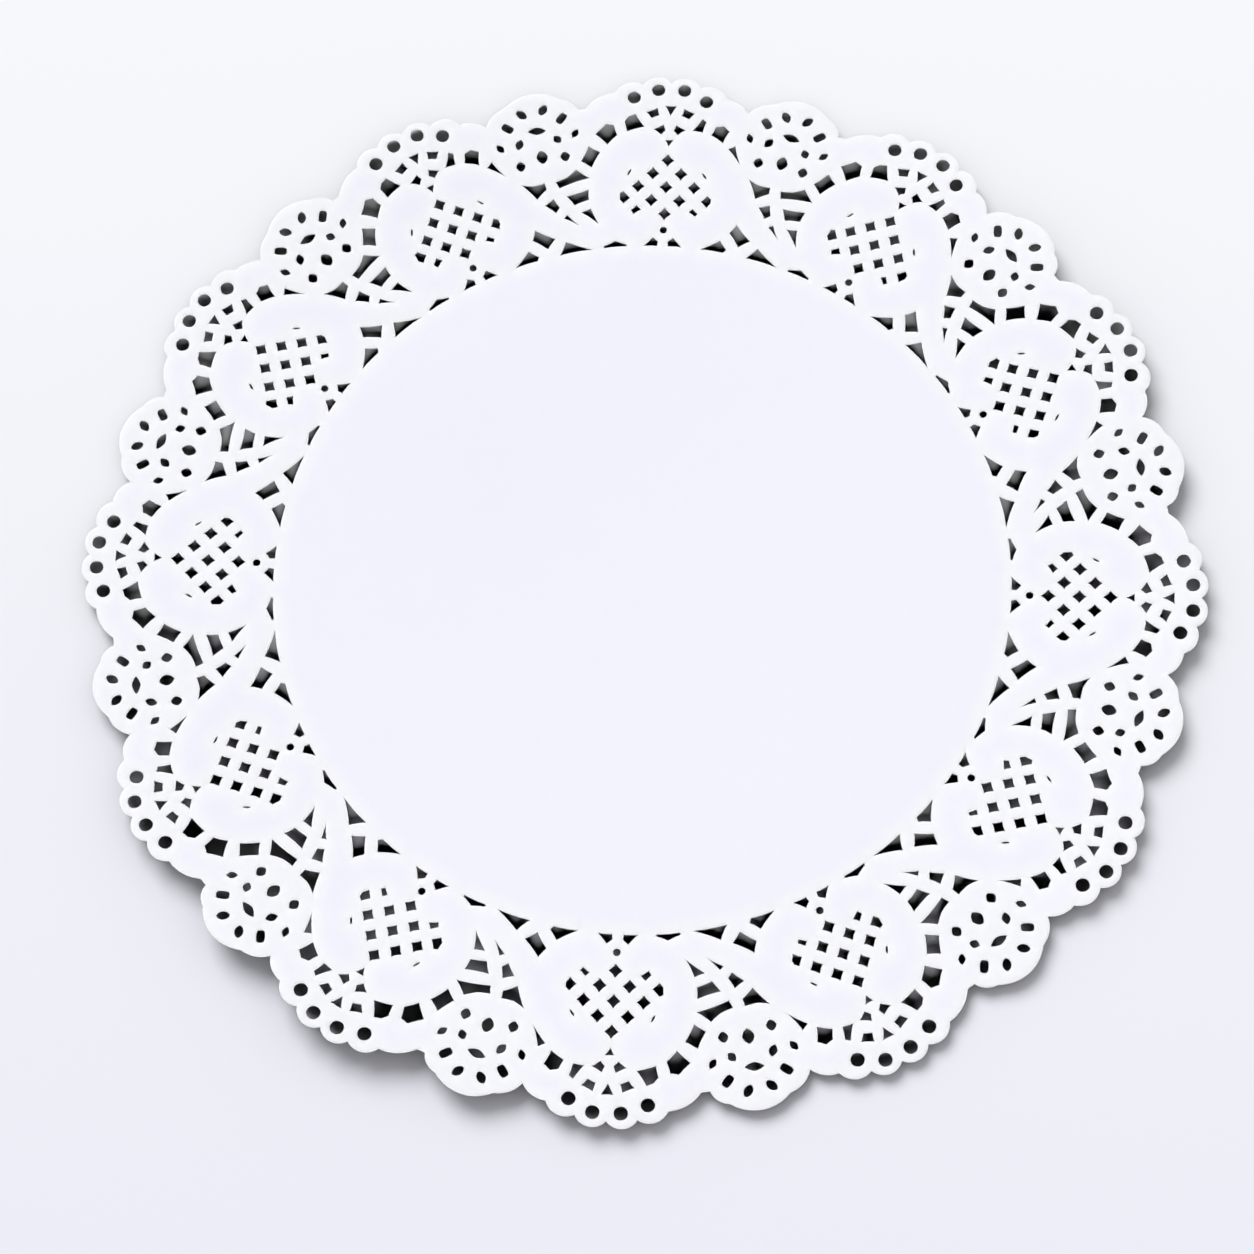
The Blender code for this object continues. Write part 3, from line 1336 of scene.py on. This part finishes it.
@dataclass(frozen=True)
class SoftLight:
    """One broad light, far enough away to light the whole sheet evenly.

    Args:
        name: Its name.
        bearing: Where it stands, in degrees clockwise from the back.
        elevation: How high it stands, in degrees.
        strength: Its strength.
        breadth: How broad it looks from the sheet, in degrees.
        lit: What it reaches. On the patch it falls through the gaps alone.
    """

    name: str
    bearing: float
    elevation: float
    strength: float
    breadth: float
    lit: Lit = Lit.ALL

    def build(self) -> Object:
        """Makes the light, which shines on the sheet's middle.

        Returns:
            The light.
        """
        data = bpy.data.lights.new(self.name, "SUN")
        data.energy = self.strength
        data.angle = radians(self.breadth)
        light = put(self.name, data)
        level = cos(radians(self.elevation))
        x, y = step_from(ORIGIN, self.bearing, level)
        towards = Vector((x, y, sin(radians(self.elevation))))
        light.location = towards * LIGHT_DISTANCE
        light.rotation_mode = "QUATERNION"
        light.rotation_quaternion = towards.to_track_quat("Z", "Y")
        return light

    def aim(self, light: Object, lit: Object, flag: Object) -> None:
        """Keeps the light to one piece.

        Args:
            light: The light.
            lit: The piece that it reaches.
            flag: The flat flag, which it passes if that piece is the patch.
        """
        reached = bpy.data.collections.new(f"{self.name}_reaches")
        reached.objects.link(lit)
        light.light_linking.receiver_collection = reached
        if self.lit is Lit.PATCH:
            passed = bpy.data.collections.new(f"{self.name}_passes")
            passed.objects.link(flag)
            passed.collection_objects[0].light_linking.link_state = "EXCLUDE"
            light.light_linking.blocker_collection = passed


@dataclass(frozen=True)
class Studio:
    """The soft light round the table.

    Args:
        lights: The lights.
        fill: How much light comes from all round.
        backdrop: The colour that shows past the table.
    """

    lights: tuple[SoftLight, ...] = (
        SoftLight("key_light", -35.0, 50.0, 2.2, 40.0),
        SoftLight("front_light", 165.0, 36.0, 0.5, 28.0, Lit.SHEET),
        SoftLight("gap_light", 172.0, 30.0, 2.1, 30.0, Lit.PATCH),
    )
    fill: float = 0.5
    backdrop: Colour = (0.9, 0.905, 0.94)

    def build(self, sheet: Object, patch: Object, flag: Object) -> None:
        """Makes the lights and the room's own light.

        Args:
            sheet: The sheet.
            patch: The patch of table under the lace.
            flag: The flat flag over the patch.
        """
        pieces = {Lit.SHEET: sheet, Lit.PATCH: patch}
        for light in self.lights:
            lamp = light.build()
            if light.lit in pieces:
                light.aim(lamp, pieces[light.lit], flag)
        scene = bpy.context.scene
        scene.view_settings.view_transform = "Standard"
        world = bpy.data.worlds.new("studio")
        bench = Bench.of(world)
        seen = bench.node("ShaderNodeLightPath", output="Is Camera Ray")
        shown = bench.node("ShaderNodeBackground", {"Color": rgba(self.backdrop), "Strength": 1.0})
        white = rgba((1.0, 1.0, 1.0))
        cast = bench.node("ShaderNodeBackground", {"Color": white, "Strength": self.fill})
        both = bench.node("ShaderNodeMixShader", {0: seen, 1: cast, 2: shown})
        bench.node("ShaderNodeOutputWorld", {"Surface": both})
        scene.world = world


def main() -> None:
    """Builds the camera, the sheet, the table and the light."""
    logging.basicConfig(level=logging.INFO, format="%(name)s: %(message)s")
    Viewpoint().build()
    log.info("camera in place")

    sheet = PaperSheet()
    paper = sheet.build()
    table = Table().build()
    patch, flag = UnderLace(sheet.chart).build(paper, table)
    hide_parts("doily")
    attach(paper, "root")
    faces = len(paper.data.polygons)
    log.info("lace sheet: %d faces, %.4f square metres of paper", faces, sheet.flat_area)

    Studio().build(paper, patch, flag)
    log.info("table and studio light in place")


if __name__ == "__main__":
    main()
